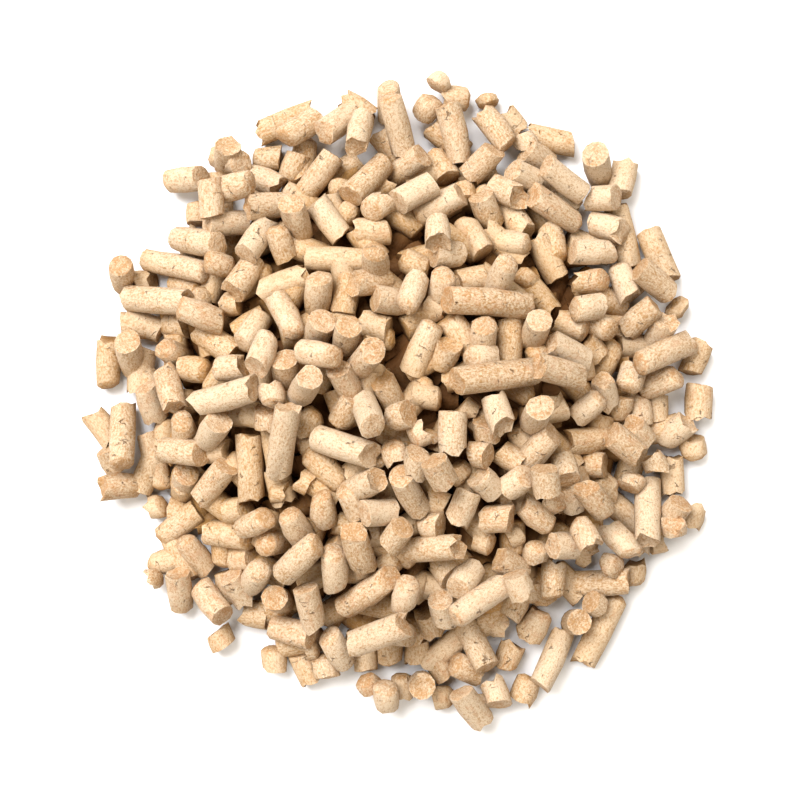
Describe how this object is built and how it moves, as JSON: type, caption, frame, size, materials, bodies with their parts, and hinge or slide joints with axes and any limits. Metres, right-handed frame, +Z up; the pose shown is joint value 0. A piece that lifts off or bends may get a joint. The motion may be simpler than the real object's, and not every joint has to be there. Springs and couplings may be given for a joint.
{
  "type": "wood pellet litter heap",
  "caption": "Low round heap of short, pale pressed-sawdust pellets lying in all directions, with loose pellets at the rim and on top.",
  "frame": {"origin": "centre of the heap's underside, on the surface it lies on", "axes": "+Z up, +X to the right of the picture, +Y towards the top of the picture"},
  "size_m": [0.1505, 0.1566, 0.0372],
  "materials": {
    "pressed_sawdust": "pressed sawdust, cream to tan, dry, with a faint sheen",
    "pressed_sawdust_loose": "pressed sawdust, cream to tan, dry, with a faint sheen"
  },
  "bodies": {
    "root": {"pellet_heap": "pressed_sawdust", "rim_pellet_01": "pressed_sawdust_loose", "rim_pellet_02": "pressed_sawdust_loose", "rim_pellet_03": "pressed_sawdust_loose", "rim_pellet_04": "pressed_sawdust_loose", "rim_pellet_05": "pressed_sawdust_loose", "rim_pellet_06": "pressed_sawdust_loose", "rim_pellet_07": "pressed_sawdust_loose", "rim_pellet_08": "pressed_sawdust_loose", "rim_pellet_09": "pressed_sawdust_loose", "rim_pellet_10": "pressed_sawdust_loose", "rim_pellet_11": "pressed_sawdust_loose", "rim_pellet_12": "pressed_sawdust_loose", "rim_pellet_13": "pressed_sawdust_loose", "rim_pellet_14": "pressed_sawdust_loose", "rim_pellet_15": "pressed_sawdust_loose", "rim_pellet_16": "pressed_sawdust_loose", "rim_pellet_17": "pressed_sawdust_loose", "rim_pellet_18": "pressed_sawdust_loose", "rim_pellet_19": "pressed_sawdust_loose", "rim_pellet_20": "pressed_sawdust_loose", "rim_pellet_21": "pressed_sawdust_loose", "rim_pellet_22": "pressed_sawdust_loose", "rim_pellet_23": "pressed_sawdust_loose", "rim_pellet_24": "pressed_sawdust_loose", "rim_pellet_25": "pressed_sawdust_loose", "rim_pellet_26": "pressed_sawdust_loose", "rim_pellet_27": "pressed_sawdust_loose", "rim_pellet_28": "pressed_sawdust_loose", "rim_pellet_29": "pressed_sawdust_loose", "rim_pellet_30": "pressed_sawdust_loose", "top_pellet_01": "pressed_sawdust_loose", "top_pellet_02": "pressed_sawdust_loose", "top_pellet_03": "pressed_sawdust_loose", "top_pellet_04": "pressed_sawdust_loose", "top_pellet_05": "pressed_sawdust_loose", "top_pellet_06": "pressed_sawdust_loose", "top_pellet_07": "pressed_sawdust_loose", "top_pellet_08": "pressed_sawdust_loose", "top_pellet_09": "pressed_sawdust_loose", "top_pellet_10": "pressed_sawdust_loose", "top_pellet_11": "pressed_sawdust_loose", "top_pellet_12": "pressed_sawdust_loose", "top_pellet_13": "pressed_sawdust_loose", "top_pellet_14": "pressed_sawdust_loose", "top_pellet_15": "pressed_sawdust_loose", "top_pellet_16": "pressed_sawdust_loose", "top_pellet_17": "pressed_sawdust_loose", "top_pellet_18": "pressed_sawdust_loose", "top_pellet_19": "pressed_sawdust_loose", "top_pellet_20": "pressed_sawdust_loose", "top_pellet_21": "pressed_sawdust_loose", "top_pellet_22": "pressed_sawdust_loose", "top_pellet_23": "pressed_sawdust_loose", "top_pellet_24": "pressed_sawdust_loose", "top_pellet_25": "pressed_sawdust_loose", "top_pellet_26": "pressed_sawdust_loose", "top_pellet_27": "pressed_sawdust_loose"}
  },
  "joints": []
}
